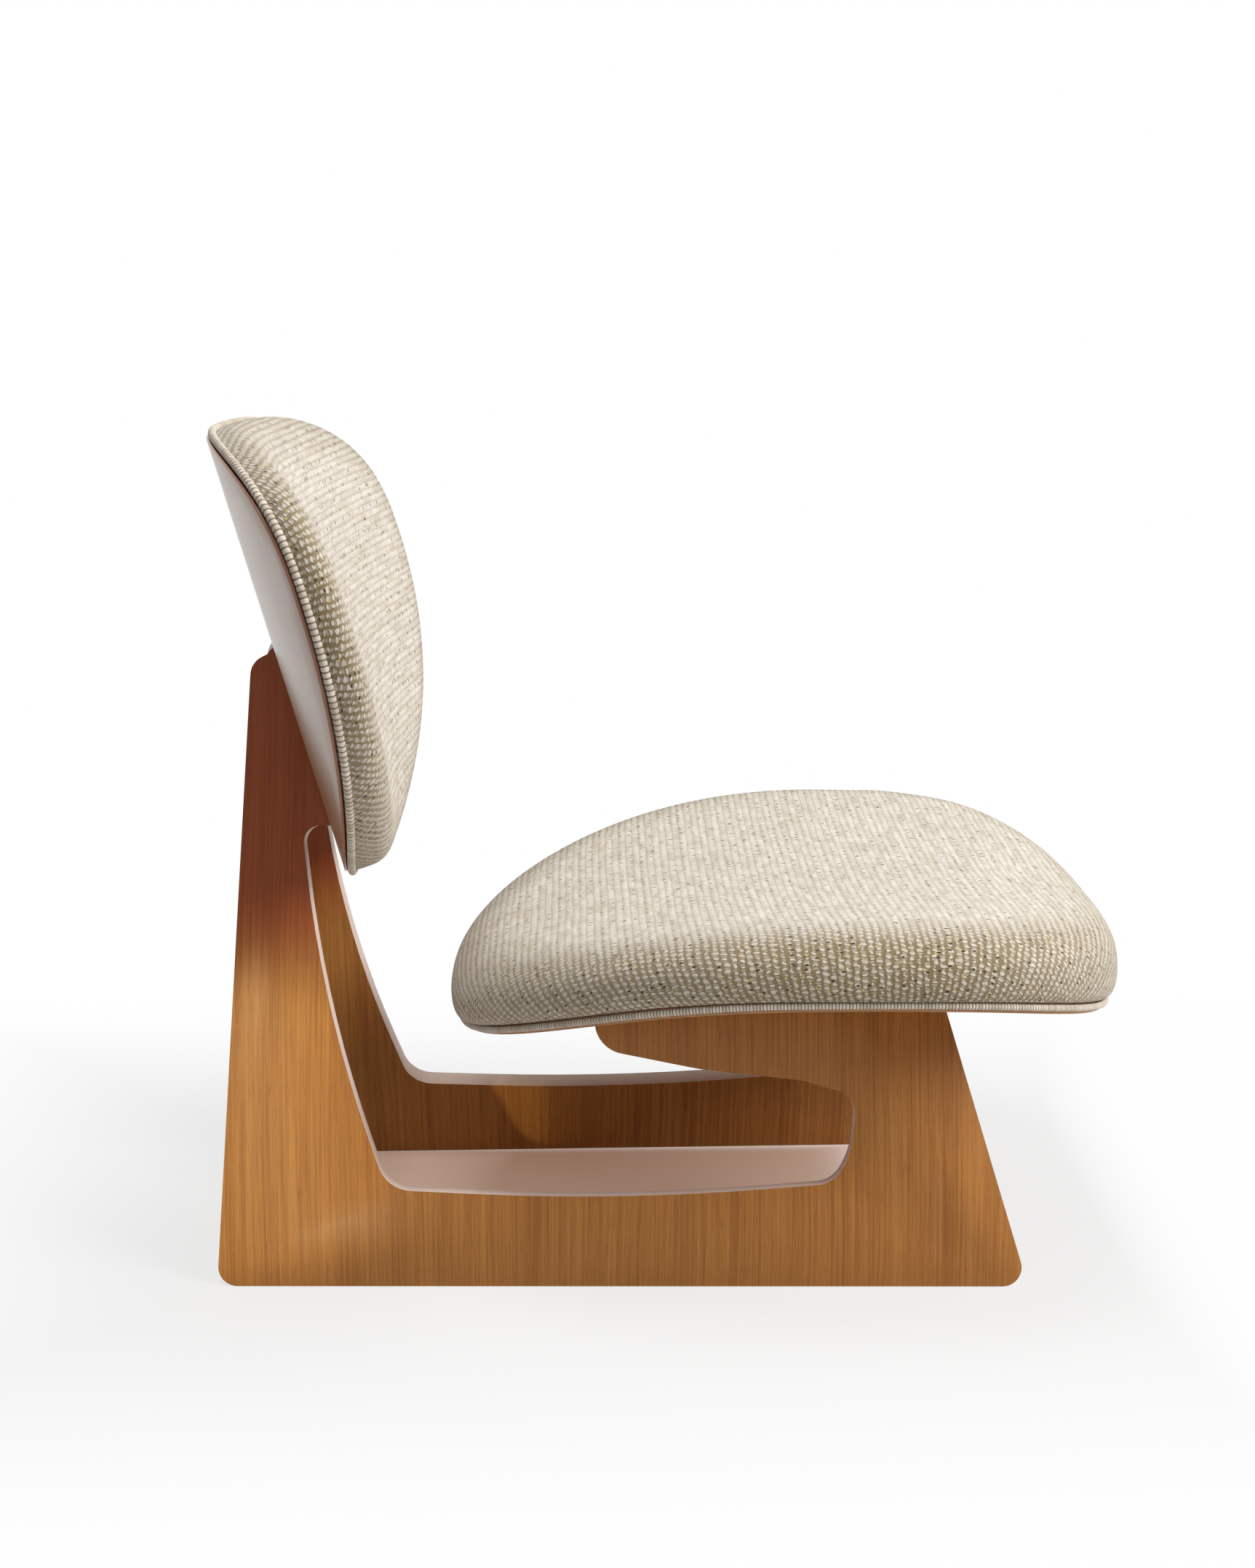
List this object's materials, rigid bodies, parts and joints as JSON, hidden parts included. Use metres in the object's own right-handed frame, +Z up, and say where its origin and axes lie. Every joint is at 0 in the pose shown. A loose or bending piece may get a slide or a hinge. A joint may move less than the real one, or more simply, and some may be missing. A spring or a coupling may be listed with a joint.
{
  "type": "low easy chair",
  "caption": "Low armless easy chair: leaning plywood side frames carry a moulded upholstered seat and back.",
  "frame": {"origin": "on the floor, under the middle of the overall depth, midway between the two side frames", "axes": "+X the way the sitter faces, +Y the sitter's left, +Z up"},
  "size_m": [0.6674, 0.496, 0.6192],
  "materials": {
    "veneered_ply": "satin oiled veneer, straight grain, pale layered edges",
    "shell_ply": "lacquered satin veneer that shines pale grey at a low angle",
    "foam": "open-cell upholstery foam",
    "wadding": "fibre wadding",
    "cover_fabric": "thick flecked oatmeal weave",
    "welt_fabric": "thick flecked oatmeal weave, wound on the bias",
    "welt_cord": "twisted cotton cord",
    "rail_wood": "planed hardwood, oiled",
    "dowel_wood": "plain beech",
    "zinc_steel": "zinc plated"
  },
  "bodies": {
    "root": {"side_frame_right": "veneered_ply", "side_frame_left": "veneered_ply", "seat_shell": "shell_ply", "back_shell": "shell_ply", "seat_foam": "foam", "back_foam": "foam", "seat_wadding": "wadding", "back_wadding": "wadding", "seat_cover": "cover_fabric", "back_cover": "cover_fabric", "seat_welt": "welt_fabric", "back_welt": "welt_fabric", "seat_welt_cord": "welt_cord", "back_welt_cord": "welt_cord", "seat_front_rail": "rail_wood", "seat_rear_rail": "rail_wood", "back_rail": "rail_wood", "seat_front_dowels": "dowel_wood", "seat_rear_dowels": "dowel_wood", "back_dowels": "dowel_wood", "seat_bolts": "zinc_steel", "seat_washers": "zinc_steel", "seat_tee_nuts": "zinc_steel", "back_bolts": "zinc_steel", "back_washers": "zinc_steel", "back_tee_nuts": "zinc_steel"}
  },
  "joints": []
}
